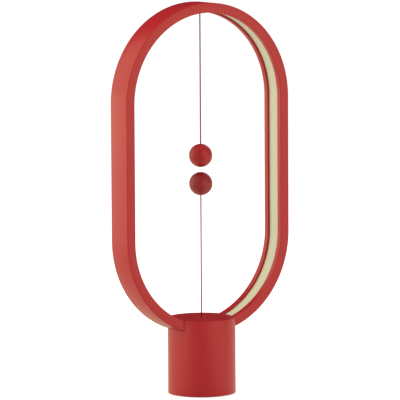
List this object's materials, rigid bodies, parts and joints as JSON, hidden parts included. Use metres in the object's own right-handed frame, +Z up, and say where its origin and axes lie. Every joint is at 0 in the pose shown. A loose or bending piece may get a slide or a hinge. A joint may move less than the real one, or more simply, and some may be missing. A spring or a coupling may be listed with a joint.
{
  "type": "magnetic balance lamp",
  "caption": "Table lamp: a round-ended ring of light stands in a round base, and magnet balls on strings meet across an air gap to work its switch.",
  "frame": {"origin": "centre of the base's foot, on the surface that the lamp stands on", "axes": "+Z up the base's axis, +X across the ring to the right as seen from the front, +Y to the back, where the power inlet is"},
  "size_m": [0.199, 0.0692, 0.4],
  "materials": {
    "red_paint": "satin red paint on moulded plastic",
    "diffuser": "translucent cream diffuser",
    "string": "fine dark red string",
    "white_plastic": "white moulded plastic",
    "black_plastic": "black moulded plastic",
    "steel": "plated steel",
    "nickel": "bright nickel plate",
    "board": "green circuit board",
    "rubber": "matte rubber",
    "lead_jacket": "pale soft lead jacket"
  },
  "bodies": {
    "stand": {"ring_frame": "red_paint", "led_strip": "white_plastic", "light_diffuser": "diffuser", "top_string_bush": "red_paint", "base_shell": "red_paint", "base_top_plate": "red_paint", "ring_saddle": "white_plastic", "top_plate_screw_1": "steel", "top_plate_screw_2": "steel", "top_plate_screw_3": "steel", "top_plate_screw_4": "steel", "return_spring": "steel", "circuit_board": "board", "board_screw_1": "steel", "board_screw_2": "steel", "micro_switch": "black_plastic", "power_inlet": "steel", "led_lead": "lead_jacket", "ballast_weight": "steel", "ballast_screw": "steel", "bottom_plate": "black_plastic", "bottom_screw_1": "steel", "bottom_screw_2": "steel", "bottom_screw_3": "steel", "foot_pad": "rubber"},
    "upper_bead": {"upper_stop_bead": "string"},
    "upper_pendulum": {"upper_string": "string", "upper_ball": "red_paint", "upper_magnet": "nickel", "upper_ball_plug": "red_paint"},
    "rod": {"pull_rod": "red_paint", "rod_cap": "white_plastic"},
    "lower_bead": {"lower_stop_bead": "string"},
    "lower_cord": {"lower_string": "string"},
    "lower_weight": {"lower_ball": "red_paint", "lower_magnet": "nickel", "lower_ball_plug": "red_paint"},
    "lever": {"switch_lever": "steel"},
    "button": {"switch_button": "white_plastic"}
  },
  "joints": [
    {"name": "upper_swing_side", "type": "hinge", "parent": "stand", "child": "upper_bead", "pos_m": [0, 0, 0.39345], "axis": [0, 1, 0], "range_deg": [-30, 30]},
    {"name": "upper_swing_front", "type": "hinge", "parent": "upper_bead", "child": "upper_pendulum", "pos_m": [0, 0, 0.39345], "axis": [1, 0, 0], "range_deg": [-30, 30]},
    {"name": "string_pull", "type": "slide", "parent": "stand", "child": "rod", "axis": [0, 0, 1], "range_m": [-0.0025, 0], "stiffness_N_per_m": 40, "springref_m": -0.004, "deforming": ["return_spring"]},
    {"name": "lower_swing_side", "type": "hinge", "parent": "rod", "child": "lower_bead", "pos_m": [0, 0, 0.0759], "axis": [0, 1, 0], "range_deg": [-25, 25]},
    {"name": "lower_swing_front", "type": "hinge", "parent": "lower_bead", "child": "lower_cord", "pos_m": [0, 0, 0.0759], "axis": [1, 0, 0], "range_deg": [-25, 25]},
    {"name": "lower_ball_drop", "type": "slide", "parent": "lower_cord", "child": "lower_weight", "axis": [0, 0, 1], "range_m": [-0.118, 0], "deforming": ["lower_string"]},
    {"name": "lever_turn", "type": "hinge", "parent": "stand", "child": "lever", "pos_m": [-0.0149, 0, 0.0309], "axis": [0, 1, 0], "range_deg": [0, 8.9], "stiffness_Nm_per_rad": 0.00001, "springref_deg": -77.35},
    {"name": "button_press", "type": "slide", "parent": "stand", "child": "button", "axis": [0, 0, 1], "range_m": [-0.00065, 0], "stiffness_N_per_m": 0.01, "springref_m": 0.0084}
  ],
  "couplings": [
    {"joint": "lever_turn", "follows": "string_pull", "rad_per_m": -61.7},
    {"joint": "button_press", "follows": "string_pull", "ratio": 0.26}
  ]
}
